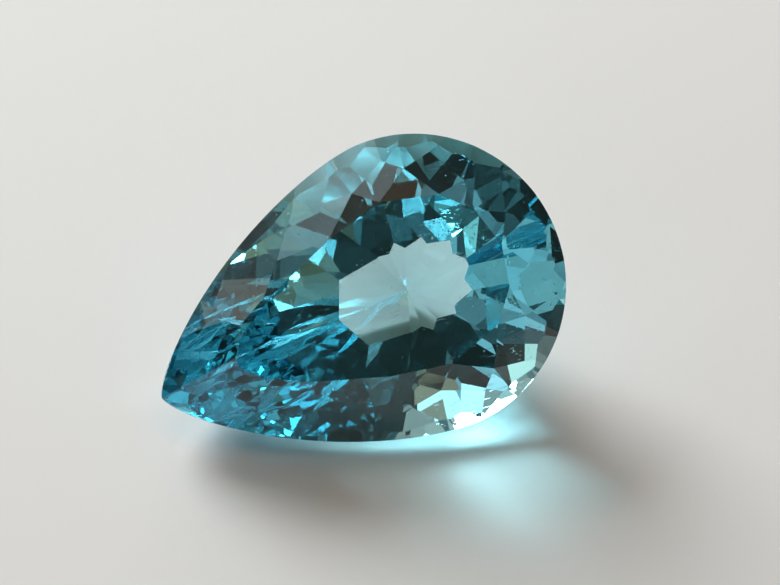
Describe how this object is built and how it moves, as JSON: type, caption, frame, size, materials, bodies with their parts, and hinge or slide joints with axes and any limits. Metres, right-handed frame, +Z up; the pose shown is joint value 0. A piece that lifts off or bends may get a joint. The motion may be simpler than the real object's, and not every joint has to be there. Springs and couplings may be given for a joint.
{
  "type": "cut gemstone",
  "caption": "Loose pear-cut blue topaz: a clear faceted gemstone with a flat table, a girdle and a pointed pavilion, lying tilted on one of its lower facets.",
  "frame": {"origin": "middle of the bounding box's bottom face, on the surface that the stone lies on", "axes": "+Z up; +X is the level direction of the stone's length, from the tip towards the round head, which points up a little; the table faces -Y and up"},
  "size_m": [0.023, 0.0134, 0.012],
  "materials": {
    "topaz": "polished facets, clear sky blue, see-through"
  },
  "bodies": {
    "root": {"cut_stone": "topaz"}
  },
  "joints": []
}
